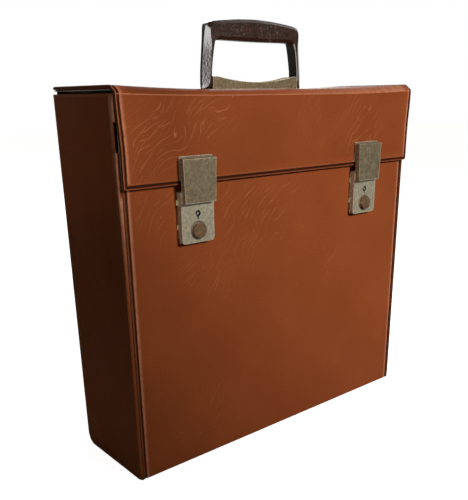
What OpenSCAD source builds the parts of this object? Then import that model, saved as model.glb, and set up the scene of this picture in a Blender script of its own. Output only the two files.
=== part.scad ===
// Record carrying case: a covered board case with a folding lid, a front flap, two
// push-button latches and a bail handle. Origin at the middle of the base on the floor,
// X across the front, Y from front to back, Z up. Millimetres.

/* [Case] */
// Outer width of the case
body_w = 350; // [330:1:380]
// Outer depth of the case
body_d = 98; // [88:1:130]
// Height of the side panels
body_h = 326; // [320:1:340]
// Thickness of the fibreboard panels
board_t = 3; // [2:0.25:4]
// Thickness of the leathercloth covering
cover_t = 0.8; // [0.6:0.1:1]
// Thickness of the lining paper
lining_t = 0.5; // [0.3:0.1:0.8]
// Radius of the soft fold between the back and the bottom
back_fold_r = 10; // [5:0.5:10]
// Radius of the fold between the front and the bottom
front_fold_r = 2; // [1:0.25:3]
// Radius of the upright edges of the side panels
edge_r = 1.5; // [1.2:0.1:3]
// How far the side covering turns on to the front, bottom and back
side_return = 3.2; // [3.1:0.1:4]
// Gap between the side covering and the weld bead of the front
seam_gap = 0.4; // [0.3:0.1:0.8]
// Width of a welded bead
bead_w = 1.3; // [1:0.1:2]
// Width of the pressed groove beside a bead
groove_w = 2.1; // [1:0.1:3]
// Depth of the pressed groove
groove_deep = 0.5; // [0.2:0.05:0.55]
// How far the front and back panels stop below the side panels
front_drop = 3; // [2.6:0.1:5]
// Lower end of the slot in each front edge of the side panels
slot_z = 284; // [270:1:290]
// Height of that slot
slot_h = 22; // [15:1:25]
// Depth of that slot, from the front
slot_deep = 2.5; // [1:0.25:4]

/* [Lid and flap] */
// Thickness of the lid's and flap's boards
lid_board_t = 2.5; // [2:0.25:3]
// Gap between the lid's underside and the front panel, at the middle
lid_gap = 1.7; // [1:0.1:2.5]
// How far the level middle of the lid reaches beyond the handle's feet
lid_level = 1.8; // [1:0.1:10]
// How much the lid's ends curl up
lid_curl = 3.5; // [1:0.25:5]
// Depth of the part of the lid's top that is left to each folding strip
fold_d = 4; // [3:0.25:6]
// Gap between the front panel and the flap
flap_gap = 0.8; // [0.7:0.1:1.2]
// Distance of the flap's lower edge from the floor
flap_z = 256.5; // [252:0.5:260]
// How far each end of the flap stays inside the case's width
flap_inset = 2; // [1:0.25:4]
// Radius of the flap's lower corners
flap_corner_r = 2.5; // [1:0.25:5]
// Height of the back covering that belongs to the rear folding strip
rear_strip_h = 10; // [6:0.5:15]

/* [Handle] */
// How far the handle stands in front of the case's middle
handle_forward = 3.2; // [0:0.2:6]
// Thickness of the handle's feet
foot_t = 8.1; // [6:0.1:9]
// How far the handle's shoulders lean in from its feet
shoulder_lean = 4; // [3:0.1:6]
// Thickness of the legs just under the grip
leg_t = 8.4; // [6.5:0.1:10]
// Height of the grip's underside above the lid's top
grip_z = 40.3; // [38:0.1:48]
// Height of the grip at its middle
grip_h = 18.3; // [13:0.1:20]
// How far the grip's top drops from its middle to its shoulders
grip_arch = 5; // [2:0.25:7]
// Depth of the handle, front to back
handle_d = 12.6; // [11:0.2:13]
// Bevel along the handle's edges
handle_bevel = 2.6; // [1:0.1:3]
// How far the bevel runs along the outer side of the legs
leg_bevel = 4.2; // [1:0.1:5]
// How far the bevel runs across the front and back of the legs
leg_slant = 5.4; // [1:0.1:5.5]
// Length of the metal base between the handle's feet
base_l = 102.8; // [88:0.2:116]
// Depth of the metal base
base_d = 12.6; // [11:0.2:14]
// Sheet thickness of the metal base
base_t = 1.2; // [1:0.1:1.5]
// Height of the base at its ends
base_h = 10.9; // [10.2:0.1:12]
// Height of the base at its middle
base_low = 6.2; // [3:0.1:8]
// Height of the handle's pins above the lid's top
pivot_h = 7.5; // [7.4:0.1:8]
// Radius of the handle's pins
handle_pin_r = 1.5; // [1.2:0.1:1.6]
// Gap between the handle's feet and the ends of the base
foot_gap = 0.4; // [0.3:0.05:0.8]
// Gap between the handle's feet and the lid
foot_rise = 0.5; // [0.45:0.05:0.8]
// Radius of the handle's rivets
rivet_r = 2; // [1.5:0.1:2.5]

/* [Latches] */
// Distance of each latch's middle from the nearer side of the case
latch_in = 69; // [55:1:80]
// Width of the lock and of the hasp at its top
latch_w = 33.2; // [31:0.2:36]
// Height of the lock's lower edge above the floor
lock_z = 207.8; // [190:0.2:208]
// Height of the lock
lock_h = 43; // [43:0.5:45]
// How far the lock's face stands out from the front
lock_proud = 5.8; // [5.6:0.1:6.5]
// Sheet thickness of the lock and hasp
sheet_t = 0.9; // [0.8:0.05:1]
// Thickness of the lock's base plate
lock_base_t = 0.8; // [0.6:0.1:1]
// Height of the button's centre above the lock's lower edge
button_up = 10.3; // [9.8:0.1:11]
// Radius of the button
button_r = 6; // [5:0.1:6.2]
// How far the button stands out from the lock's face
button_proud = 3.6; // [3:0.1:5]
// Travel of the button and of the catch
button_travel = 1.8; // [1:0.1:1.8]
// Height of the keyhole's centre above the lock's lower edge
keyhole_up = 24.2; // [24:0.1:26]
// Radius of the keyhole
keyhole_r = 2.9; // [2.5:0.1:3.2]
// Travel of the key-worked bolt
bolt_travel = 2.8; // [2:0.1:3]
// Clearance between the lock's sliding pieces
slide_gap = 0.15; // [0.1:0.01:0.2]
// Radial running clearance of pins in their holes
pin_gap = 0.05; // [0.02:0.01:0.09]
// Height of the hasp's lower edge above the floor
hasp_z = 241.4; // [241:0.1:244]
// Height of the hasp
hasp_h = 35.8; // [34:0.2:38]
// Width that the hasp loses from top to bottom
hasp_taper = 2.2; // [0:0.1:3]
// How far the hasp's face stands out from the front
hasp_proud = 11; // [10.8:0.1:13]
// Thickness of the hasp's base plate
hasp_base_t = 1; // [0.8:0.05:1.1]
// How far the hasp's base plate shows above the hasp
hasp_base_show = 1.3; // [0.5:0.1:3]
// Radius of the hasp's pin
hasp_pin_r = 0.8; // [0.6:0.05:0.85]
// Distance of the hasp's pin from its face and its top
hasp_pin_in = 2.45; // [2.4:0.01:2.5]
// Radius of the small rivets of the latches
small_rivet_r = 1.5; // [1:0.1:1.6]

/* [Hidden] */

// Walls and the space inside
half_w = body_w / 2;
half_d = body_d / 2;
wall_t = cover_t + board_t + lining_t;
front_top = body_h - front_drop;
seam_x = half_w - side_return - seam_gap;
groove_x = seam_x - bead_w;
front_face_x = groove_x - groove_w;
front_turn = front_fold_r + 1.5;

// Lid: its layers, counted up from the underside at the middle
lid_under = front_top + lid_gap;
lid_board_z = lid_under + lining_t;
lid_cover_z = lid_board_z + lid_board_t;
lid_top = lid_cover_z + cover_t;
foot_out = base_l / 2 + foot_gap + foot_t;
lid_flat = foot_out + lid_level;
curl_run = half_w - lid_flat;
curl_r = (curl_run * curl_run + lid_curl * lid_curl) / (2 * lid_curl);
lid_front_y = -half_d + fold_d;
lid_rear_y = half_d - fold_d;
strip_steps = 9;

// Flap: its layers, counted out from the front panel
flap_in_y = -half_d - flap_gap;
flap_board_y = flap_in_y - lining_t;
flap_cover_y = flap_board_y - lid_board_t;
flap_face_y = flap_cover_y - cover_t;
flap_drop = 0.9;
flap_top = lid_under - flap_drop;
flap_t = flap_in_y - flap_face_y;
least_r = 0.5;
flap_half = half_w - flap_inset;

// Handle
pivot_z = lid_top + pivot_h;
foot_round = 5;
foot_half = 6;
foot_edge = 0.8;
foot_low = pivot_h - foot_rise;
leg_in = base_l / 2 + foot_gap;
shoulder_half = foot_out - shoulder_lean;
shoulder_swell = 0.8;
shoulder_cut = 2;
gap_half = shoulder_half - leg_t;
leg_hollow = 1.5;
web_in = 6;
web_up = 4;
web_out = 3;
web_down = 7;
grip_steps = 4;
grip_turn = 22;
slice_t = 0.01;
grip_low = lid_top + grip_z;
grip_top = grip_low + grip_h;
base_curve_drop = base_h - base_low;
base_end = 6;
base_chord = base_l / 2 - base_end;
base_curve_r = (pow(base_chord, 2) + pow(base_curve_drop, 2)) / (2 * base_curve_drop);
handle_rivet_x = [for (k = [-0.4, -0.15, 0.15, 0.4]) k * base_l];
rivet_head_t = 1;
rivet_head_r = rivet_r + 1.4;
backing_t = 1.2;
backing_in = 2;
pin_inside = 1.5;
pin_cap = 2.4;
pin_end_gap = 0.4;

// Lock: depths counted from the front panel's face outwards, along -Y
latch_x = half_w - latch_in;
front_y = -half_d;
lock_face_y = front_y - lock_proud;
lock_in_y = lock_face_y + sheet_t;
lock_base_y = front_y - lock_base_t;
lock_top = lock_z + lock_h;
lock_low_r = 3;
lock_top_r = 1.2;
button_z = lock_z + button_up;
keyhole_z = lock_z + keyhole_up;
key_slot_half = 0.7;
key_slot_h = 2.2;
post_r = 1;
post_short = 0.3;
tab_w = 1.2;
tab_h = 4;
tab_low = lock_z + 12;
tab_high = lock_z + 32;
catch_t = 0.9;
catch_half = 7;
nose_y = lock_in_y + slide_gap;
plate_y = lock_base_y - slide_gap - catch_t;
flange_t = 0.7;
flange_over = 1;
flange_y = lock_in_y + slide_gap;
wedge_half = 2;
wedge_h = 1.5;
wedge_tip_h = 0.5;
wedge_clear = 0.1;
joined = 0.2;
window_half = 5;
window_h = 5.4;
window_z = hasp_z + 1.2;
lug_half = 4;
lug_t = 1.1;
lug_flange_h = 8;
lug_z = window_z + 2.9;
hook_y = nose_y + catch_t + 2 * slide_gap;
hook_t = 0.9;
hook_drop = 1.6;
nose_top = lug_z - slide_gap;
catch_step_z = keyhole_z + 5.2;
catch_low = lock_z + 6.2;
catch_neck = 3;
slot_side = 0.3;
slot_end = 0.4;
ear_z = keyhole_z + 1.2;
ear_h = 2.2;
ear_out = 2.5;
bolt_h = 3.7;
bolt_w = 4;
bolt_stop = 0.2;
spring_t = 0.35;
spring_half = 4;
spring_legs = 4;
small_head_t = 0.7;
small_head_r = small_rivet_r + 1;
lock_rivet_x = latch_w / 2 - 4.2;
lock_rivet_low = lock_z + 5;
lock_rivet_high = lock_z + lock_h - 6;
washer_t = 0.6;
washer_r = small_rivet_r + 2.7;

// Hasp
hasp_face_y = front_y - hasp_proud;
hasp_back_y = lock_face_y - 0.3;
hasp_top = hasp_z + hasp_h;
hasp_base_y = flap_face_y - hasp_base_t;
hasp_pin_y = hasp_face_y + hasp_pin_in;
hasp_pin_z = hasp_top - hasp_pin_in;
hasp_turn_r = hasp_pin_in + 0.25;
hasp_top_r = 1.4;
knuckle_r = hasp_pin_r + 0.6;
knuckle_half = 3;
knuckle_x = 9;
knuckle_gap = 0.3;
knuckle_web_t = 1;
hasp_notch_in = 0.8;
hasp_rivet_z = flap_z + 7;
hasp_rivet_x = 9.5;
hasp_washer_t = 0.4;

leathercloth = [0.5, 0.25, 0.13];
brass = [0.5, 0.46, 0.36];

// A block between two opposite corners
module slab(low, high) {
    translate(low) cube(high - low);
}

// A round bar or bore along Y, from y0 to y1
module bar_y(x, z, r, y0, y1) {
    translate([x, y1, z]) rotate([90, 0, 0]) cylinder(h = y1 - y0, r = r, $fn = 48);
}

// What a fillet removes from the corner of a square that points along dir
module corner_cut(at, dir, r) {
    translate(at) difference() {
        translate([min(0, dir[0] * r), min(0, dir[1] * r)]) square(r);
        translate([dir[0] * r, dir[1] * r]) circle(r = r, $fn = 96);
    }
}

// Side view of the case, drawn in Y and Z, shrunk by inset and cut off at top
module side_outline(inset, top) {
    y0 = -half_d + inset;
    y1 = half_d - inset;
    difference() {
        translate([y0, inset]) square([y1 - y0, top - inset]);
        corner_cut([y0, inset], [1, 1], front_fold_r - inset);
        corner_cut([y1, inset], [-1, 1], back_fold_r - inset);
    }
}

// Plan of the case, drawn in X and Y, shrunk by inset
module plan_outline(inset) {
    w = half_w - inset;
    d = half_d - inset;
    r = edge_r - inset;
    difference() {
        square([2 * w, 2 * d], center = true);
        for (sx = [-1, 1], sy = [-1, 1]) corner_cut([sx * w, sy * d], [-sx, -sy], r);
    }
}

// A side view drawn in Y and Z, made solid from x0 to x1
module along_x(x0, x1) {
    translate([x0, 0, 0]) rotate([90, 0, 90]) linear_extrude(x1 - x0) children();
}

// The case's outer form between x0 and x1, shrunk by inset
module case_form(x0, x1, inset, top) {
    intersection() {
        along_x(x0, x1) side_outline(inset, top);
        linear_extrude(body_h) plan_outline(inset);
    }
}

// Slots in the front edges of the side panels
module edge_slot() {
    slab([-half_w + cover_t, -half_d - 1, slot_z],
         [-half_w + side_return + 1, -half_d + slot_deep, slot_z + slot_h]);
    slab([half_w - side_return - 1, -half_d - 1, slot_z],
         [half_w - cover_t, -half_d + slot_deep, slot_z + slot_h]);
}

module on_side(s) {
    mirror([s > 0 ? 0 : 1, 0, 0]) children();
}

module side_board(s) {
    color("saddlebrown") difference() {
        on_side(s) case_form(half_w - cover_t - board_t, half_w - cover_t, cover_t, body_h - cover_t);
        edge_slot();
    }
}

module side_cover(s) {
    color(leathercloth) difference() {
        on_side(s) case_form(half_w - side_return, half_w, 0, body_h);
        on_side(s) case_form(half_w - side_return - 1, half_w - cover_t, cover_t, body_h - cover_t);
        edge_slot();
    }
}

module side_lining(s) {
    color("darkkhaki") on_side(s) slab(
        [half_w - wall_t, -half_d + wall_t, wall_t],
        [half_w - cover_t - board_t, half_d - wall_t, body_h - cover_t]);
}

// Holes for the latch rivets through the front panel
module lock_rivet_bores() {
    for (s = [-1, 1], x = [-1, 1], z = [lock_rivet_low, lock_rivet_high])
        bar_y(s * latch_x + x * lock_rivet_x, z, small_rivet_r + pin_gap,
              front_y - wall_t, front_y + 2 * wall_t);
}

module front_board() {
    color("saddlebrown") difference() {
        along_x(-half_w + cover_t + board_t, half_w - cover_t - board_t) intersection() {
            side_outline(cover_t, front_top - cover_t);
            translate([-half_d, 0]) square([cover_t + board_t, body_h]);
        }
        lock_rivet_bores();
    }
}

module back_board() {
    color("saddlebrown") along_x(-half_w + cover_t + board_t, half_w - cover_t - board_t) intersection() {
        side_outline(cover_t, front_top - cover_t);
        translate([half_d - cover_t - board_t, cover_t + board_t]) square([cover_t + board_t, body_h]);
    }
}

module bottom_board() {
    color("saddlebrown") along_x(-half_w + cover_t + board_t, half_w - cover_t - board_t) intersection() {
        side_outline(cover_t, front_top);
        translate([-half_d + cover_t + board_t, 0])
            square([body_d - cover_t - board_t, cover_t + board_t]);
    }
}

// The wrapped covering between the side seams, as a ring in side view
module wrap_ring(top) {
    difference() {
        side_outline(0, top);
        side_outline(cover_t, top - cover_t);
    }
}

module front_cover() {
    color(leathercloth) difference() {
        along_x(-seam_x, seam_x) intersection() {
            wrap_ring(front_top);
            translate([-half_d, 0]) square([front_turn, body_h]);
        }
        for (s = [-1, 1]) on_side(s)
            slab([front_face_x, front_y - 1, -1], [groove_x, front_y + groove_deep, body_h]);
        lock_rivet_bores();
    }
}

module bottom_cover() {
    color(leathercloth) slab([-seam_x, -half_d + front_turn, 0],
                             [seam_x, half_d - back_fold_r, cover_t]);
}

module back_cover() {
    color(leathercloth) along_x(-seam_x, seam_x) intersection() {
        wrap_ring(body_h);
        translate([half_d - back_fold_r, 0]) square([back_fold_r, front_top - rear_strip_h]);
    }
}

module front_lining() {
    color("darkkhaki") difference() {
        slab([-half_w + wall_t - lining_t, front_y + cover_t + board_t, cover_t + board_t + lining_t],
             [half_w - wall_t + lining_t, front_y + wall_t, front_top - cover_t]);
        lock_rivet_bores();
    }
}

module back_lining() {
    color("darkkhaki") slab(
        [-half_w + wall_t - lining_t, half_d - wall_t, wall_t],
        [half_w - wall_t + lining_t, half_d - wall_t + lining_t, front_top - cover_t]);
}

module bottom_lining() {
    color("darkkhaki") slab(
        [-half_w + cover_t + board_t, -half_d + cover_t + board_t, cover_t + board_t],
        [half_w - cover_t - board_t, half_d - cover_t - board_t, wall_t]);
}

// Height of the curled lid above its level middle, at x
function curl(x) = abs(x) < lid_flat ? 0 : curl_r - sqrt(curl_r * curl_r - pow(abs(x) - lid_flat, 2));

// A layer of the lid, drawn in X and Z: level in the middle, curled up at both ends
module lid_layer(z, t, half) {
    translate([-lid_flat, z]) square([2 * lid_flat, t]);
    for (s = [0, 1]) mirror([s, 0]) intersection() {
        translate([lid_flat, z + curl_r]) difference() {
            circle(r = curl_r, $fn = 2880);
            circle(r = curl_r - t, $fn = 2880);
        }
        translate([lid_flat, z]) square([half - lid_flat, lid_curl * 2 + t]);
    }
}

// A sheet of the lid from y0 to y1
module lid_sheet(z, t, half, y0, y1) {
    translate([0, y1, 0]) rotate([90, 0, 0]) linear_extrude(y1 - y0) lid_layer(z, t, half);
}

module handle_rivet_bores() {
    for (x = handle_rivet_x) translate([x, 0, lid_under - 2 * backing_t])
        cylinder(h = lid_top - lid_under + 2 * (backing_t + base_t), r = rivet_r + pin_gap, $fn = 48);
}

module at_handle() {
    translate([0, -handle_forward, 0]) children();
}

module lid_board() {
    color("saddlebrown") difference() {
        lid_sheet(lid_board_z, lid_board_t, half_w - cover_t, lid_front_y, lid_rear_y);
        at_handle() handle_rivet_bores();
    }
}

module lid_cover() {
    color(leathercloth) difference() {
        lid_sheet(lid_board_z, lid_board_t + cover_t, half_w, lid_front_y, lid_rear_y);
        lid_sheet(lid_board_z - 1, lid_board_t + 1, half_w - cover_t, lid_front_y - 1, lid_rear_y + 1);
        at_handle() handle_rivet_bores();
    }
}

module lid_lining() {
    color("darkkhaki") difference() {
        lid_sheet(lid_under, lining_t, half_w, lid_front_y, lid_rear_y);
        at_handle() handle_rivet_bores();
    }
}

// Joins rings of points, each with the same count, into one closed solid
module loft(rings) {
    n = len(rings[0]);
    last = len(rings) - 1;
    sides = [for (i = [0:last - 1], j = [0:n - 1])
        [i * n + j, i * n + (j + 1) % n, (i + 1) * n + (j + 1) % n, (i + 1) * n + j]];
    ends = [[for (j = [n - 1:-1:0]) j], [for (j = [0:n - 1]) last * n + j]];
    polyhedron(points = [for (r = rings) each r], faces = concat(sides, ends), convexity = 6);
}

// Where a folding strip of this half width is drawn: steps along each curled end
function strip_places(half) = [for (i = [-strip_steps:strip_steps])
    sign(i) * (lid_flat * min(abs(i), 1) + (half - lid_flat) * max(abs(i) - 1, 0) / (strip_steps - 1))];

// Rear strip in side view: up the back, round the corner and on to the lid's top edge
function rear_ring(x) = let(
    top = lid_top + curl(x), low = front_top - rear_strip_h, r = fold_d, in = r - cover_t,
    outer = [for (a = [0:15:90]) [x, half_d - r + r * cos(a), top - r + r * sin(a)]],
    inner = [for (a = [90:-15:0]) [x, half_d - r + in * cos(a), top - r + in * sin(a)]])
    concat([[x, half_d, low]], outer, inner, [[x, half_d - cover_t, low]]);

module rear_hinge_strip() {
    color(leathercloth) loft([for (x = strip_places(seam_x)) rear_ring(x)]);
}

// Front strip in side view: from the lid's top edge over the fold to the flap's top
function front_ring(x) = let(
    top = lid_top + curl(x), r = lid_front_y - flap_face_y, rise = top - flap_top,
    outer = [for (a = [90:15:180]) [x, lid_front_y + r * cos(a), flap_top + rise * sin(a)]],
    inner = [for (a = [180:-15:90])
        [x, lid_front_y + (r - cover_t) * cos(a), flap_top + (rise - cover_t) * sin(a)]])
    concat(outer, inner);

module front_hinge_strip() {
    color(leathercloth) loft([for (x = strip_places(flap_half)) front_ring(x)]);
}

// Outline of the flap in front view, shrunk by inset, with rounded lower corners
module flap_outline(inset, top) {
    w = flap_half - inset;
    r = max(flap_corner_r - inset, least_r);
    difference() {
        translate([-w, flap_z + inset]) square([2 * w, top - flap_z - inset]);
        for (s = [-1, 1]) corner_cut([s * w, flap_z + inset], [-s, 1], r);
    }
}

module flap_sheet(inset, y0, y1) {
    translate([0, y1, 0]) rotate([90, 0, 0]) linear_extrude(y1 - y0) flap_outline(inset, flap_top);
}

module hasp_rivet_bores() {
    for (s = [-1, 1], x = [-1, 1])
        bar_y(s * latch_x + x * hasp_rivet_x, hasp_rivet_z, small_rivet_r + pin_gap,
              flap_face_y - flap_t, flap_in_y + flap_t);
}

module flap_board() {
    color("saddlebrown") difference() {
        flap_sheet(bead_w, flap_cover_y, flap_board_y);
        hasp_rivet_bores();
    }
}

module flap_cover() {
    color(leathercloth) difference() {
        flap_sheet(0, flap_face_y, flap_board_y);
        flap_sheet(bead_w, flap_cover_y, flap_board_y + 1);
        difference() {
            flap_sheet(bead_w, flap_face_y - 1, flap_face_y + groove_deep);
            flap_sheet(bead_w + groove_w, flap_face_y - 2, flap_face_y + 1);
        }
        hasp_rivet_bores();
    }
}

module flap_lining() {
    color("darkkhaki") difference() {
        flap_sheet(0, flap_board_y, flap_in_y);
        hasp_rivet_bores();
    }
}

module handle_base() {
    l = base_l / 2;
    d = base_d / 2;
    color(brass) difference() {
        slab([-l, -d, lid_top], [l, d, lid_top + base_h]);
        slab([-l + base_t, -d + base_t, lid_top + base_t],
             [l - base_t, d - base_t, lid_top + base_h + 1]);
        translate([0, d + 1, lid_top + base_low + base_curve_r]) rotate([90, 0, 0])
            cylinder(h = base_d + 2, r = base_curve_r, $fn = 720);
        translate([-l - 1, 0, pivot_z]) rotate([0, 90, 0])
            cylinder(h = base_l + 2, r = handle_pin_r + pin_gap, $fn = 48);
        handle_rivet_bores();
    }
}

module handle_backing_plate() {
    color("silver") difference() {
        slab([-base_l / 2 + backing_in, -base_d / 2, lid_under - backing_t],
             [base_l / 2 - backing_in, base_d / 2, lid_under]);
        handle_rivet_bores();
    }
}

module handle_rivets() {
    low = lid_under - backing_t;
    color("silver") for (x = handle_rivet_x) {
        translate([x, 0, low - rivet_head_t])
            cylinder(h = lid_top + base_t - low + 2 * rivet_head_t, r = rivet_r, $fn = 48);
        translate([x, 0, lid_top + base_t]) cylinder(h = rivet_head_t, r = rivet_head_r, $fn = 48);
        translate([x, 0, low - rivet_head_t]) cylinder(h = rivet_head_t, r = rivet_head_r, $fn = 48);
    }
}

// Thin bevelled section of the grip across X, as a slice for the grip's hull
module grip_slice(x, z0, z1) {
    d = handle_d / 2;
    b = handle_bevel;
    translate([x, 0, 0]) rotate([90, 0, 90]) linear_extrude(slice_t) polygon([
        [-d + b, z0], [d - b, z0], [d, z0 + b], [d, z1 - b],
        [d - b, z1], [-d + b, z1], [-d, z1 - b], [-d, z0 + b]]);
}

// Thin level section of a leg between x0 and x1 at height z, for the leg's hull
module leg_slice(x0, x1, z, d) {
    b = min(leg_slant, x1 - x0 - least_r);
    translate([0, 0, z]) linear_extrude(slice_t) polygon([
        [x0, -d], [x1 - b, -d], [x1, -d + leg_bevel], [x1, d - leg_bevel], [x1 - b, d], [x0, d]]);
}

module handle_leg() {
    knee_z = pivot_z + foot_low;
    hull() {
        for (y = [-1, 1])
            translate([leg_in, y * (foot_half - foot_round), pivot_z - foot_low + foot_round])
                rotate([0, 90, 0]) cylinder(h = foot_t - foot_edge, r = foot_round, $fn = 32);
        leg_slice(leg_in, foot_out, knee_z, foot_half);
    }
    hull() {
        leg_slice(leg_in, foot_out, knee_z, foot_half);
        leg_slice(gap_half + leg_hollow, shoulder_half + shoulder_swell, grip_low, handle_d / 2);
    }
    hull() {
        leg_slice(gap_half, shoulder_half + shoulder_swell, grip_low, handle_d / 2);
        leg_slice(gap_half - web_in, shoulder_half, grip_low + web_up, handle_d / 2);
        leg_slice(gap_half + web_out, shoulder_half + shoulder_swell, grip_low - web_down, handle_d / 2);
    }
}

module handle_grip() {
    color([0.2, 0.13, 0.1]) difference() {
        union() {
            hull() for (i = [-grip_steps:grip_steps]) {
                across = sin(i * grip_turn);
                cut = abs(i) == grip_steps ? shoulder_cut : 0;
                grip_slice(shoulder_half * across, grip_low, grip_top - grip_arch * pow(across, 2) - cut);
            }
            for (m = [-1, 1]) on_side(m) handle_leg();
        }
        for (m = [-1, 1]) on_side(m) translate([leg_in - 1, 0, pivot_z]) rotate([0, 90, 0])
            cylinder(h = foot_t + 1 - pin_cap + pin_end_gap, r = handle_pin_r, $fn = 48);
    }
}

module handle_pins() {
    color("silver") for (m = [-1, 1]) on_side(m)
        translate([base_l / 2 - base_t - pin_inside, 0, pivot_z]) rotate([0, 90, 0])
            cylinder(h = pin_inside + base_t + foot_gap + foot_t - pin_cap, r = handle_pin_r, $fn = 48);
}

// Front view of the lock, shrunk by inset, with rounded lower corners
module lock_outline(inset) {
    w = latch_w / 2 - inset;
    difference() {
        translate([-w, lock_z + inset]) square([2 * w, lock_h - 2 * inset]);
        for (s = [-1, 1]) corner_cut([s * w, lock_z + inset], [-s, 1], lock_low_r - inset);
        for (s = [-1, 1]) corner_cut([s * w, lock_top - inset], [-s, -1], lock_top_r - inset);
    }
}

// A front view made solid from y0 to y1
module along_y(y0, y1) {
    translate([0, y1, 0]) rotate([90, 0, 0]) linear_extrude(y1 - y0) children();
}

module lock_face() {
    color(brass) difference() {
        along_y(lock_face_y, lock_base_y) lock_outline(0);
        along_y(lock_in_y, lock_base_y + 1) lock_outline(sheet_t);
        bar_y(0, button_z, button_r + 2 * pin_gap, lock_face_y - 1, lock_in_y + 1);
        bar_y(0, keyhole_z, keyhole_r, lock_face_y - 1, lock_in_y + 1);
        slab([-key_slot_half, lock_face_y - 1, keyhole_z - keyhole_r - key_slot_h],
             [key_slot_half, lock_in_y + 1, keyhole_z]);
        slab([-window_half, lock_face_y - 1, window_z],
             [window_half, lock_in_y + 1, window_z + window_h]);
    }
}

// Base plate with its key post, two side tabs a side and the bolt's keeper
module lock_base() {
    color(brass) difference() {
        union() {
            along_y(lock_base_y, front_y) lock_outline(0);
            bar_y(0, keyhole_z, post_r, lock_face_y + post_short, lock_base_y + joined);
            for (x = [-1, 1], z = [tab_low, tab_high]) on_side(x)
                slab([latch_w / 2 - joined, lock_base_y, z], [latch_w / 2 + tab_w, front_y, z + tab_h]);
        }
        slab([-wedge_half - slot_side, lock_base_y - 1, button_z - wedge_h - wedge_tip_h],
             [wedge_half + slot_side, front_y + 1, button_z + wedge_h + wedge_tip_h]);
        for (x = [-1, 1], z = [lock_rivet_low, lock_rivet_high])
            bar_y(x * lock_rivet_x, z, small_rivet_r + pin_gap, lock_base_y - 1, front_y + 1);
    }
}

// Side view of the button's wedge: level on top, sloped underneath, drawn in Y and Z
module wedge_outline() {
    tip = plate_y - wedge_clear;
    root = flange_y + flange_t - joined;
    top = button_z + wedge_h;
    low = top - wedge_tip_h;
    polygon([[root, top], [tip, top], [tip, low], [root, low - (tip - root)]]);
}

module lock_button() {
    color("saddlebrown") union() {
        bar_y(0, button_z, button_r, lock_face_y - button_proud, flange_y + joined);
        bar_y(0, button_z, button_r + flange_over, flange_y, flange_y + flange_t);
        along_x(-wedge_half, wedge_half) wedge_outline();
    }
}

// Catch in side view: a nose behind the lock's face, a step back, and a plate behind the button
module catch_outline() {
    polygon([[nose_y, nose_top], [nose_y, catch_step_z], [plate_y, catch_step_z - catch_t],
             [plate_y, catch_low], [plate_y + catch_t, catch_low], [plate_y + catch_t, catch_step_z],
             [nose_y + catch_t, catch_step_z + catch_t], [nose_y + catch_t, nose_top]]);
}

module lock_catch() {
    back = plate_y + catch_t;
    slot_low = button_z + wedge_h - wedge_tip_h + wedge_clear - 2 * slide_gap;
    slot_top = button_z + wedge_h + button_travel + slot_side;
    post_gap = post_r + slot_end;
    neck_z = catch_step_z + catch_neck;
    color("silver") difference() {
        union() {
            along_x(-catch_half, catch_half) catch_outline();
            slab([catch_half - joined, plate_y, ear_z], [catch_half + ear_out, back, ear_z + ear_h]);
        }
        slab([-wedge_half - slot_side, plate_y - 1, slot_low],
             [wedge_half + slot_side, back + 1, slot_top]);
        slab([-post_r - slot_side, plate_y - 1, keyhole_z - post_gap],
             [post_r + slot_side, back + 1, keyhole_z + button_travel + post_gap]);
        for (m = [-1, 1]) on_side(m)
            slab([window_half, nose_y - 1, neck_z], [catch_half + 1, plate_y, nose_top + 1]);
    }
}

// Key-worked bolt beside the catch: pushed under the catch's ear it holds the catch up
module lock_bolt() {
    x0 = catch_half + bolt_stop + bolt_travel;
    top = ear_z - slide_gap;
    color("silver") slab([x0, plate_y, top - bolt_h], [x0 + bolt_w, plate_y + catch_t, top]);
}

// Flat zigzag spring under the catch
module catch_spring() {
    low = lock_z + sheet_t;
    rise = (catch_low - low - spring_t) / spring_legs;
    color("silver") along_y(plate_y, plate_y + catch_t) for (i = [0:spring_legs - 1]) {
        x = i % 2 == 0 ? -spring_half : spring_half;
        z = low + i * rise;
        polygon([[x, z], [-x, z + rise], [-x, z + rise + spring_t], [x, z + spring_t]]);
    }
}

module at_latch(s) {
    translate([s * latch_x, 0, 0]) children();
}

module lock_rivets() {
    color("silver") for (s = [-1, 1], x = [-1, 1], z = [lock_rivet_low, lock_rivet_high]) at_latch(s) {
        bar_y(x * lock_rivet_x, z, small_rivet_r,
              lock_base_y - small_head_t, front_y + wall_t + washer_t);
        bar_y(x * lock_rivet_x, z, small_head_r, lock_base_y - small_head_t, lock_base_y);
        bar_y(x * lock_rivet_x, z, small_head_r, front_y + wall_t + washer_t,
              front_y + wall_t + washer_t + small_head_t);
    }
}

module lock_washers() {
    color("silver") for (s = [-1, 1], x = [-1, 1], z = [lock_rivet_low, lock_rivet_high]) at_latch(s)
        difference() {
            bar_y(x * lock_rivet_x, z, washer_r, front_y + wall_t, front_y + wall_t + washer_t);
            bar_y(x * lock_rivet_x, z, small_rivet_r + pin_gap, front_y, front_y + 2 * wall_t);
        }
}

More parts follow.
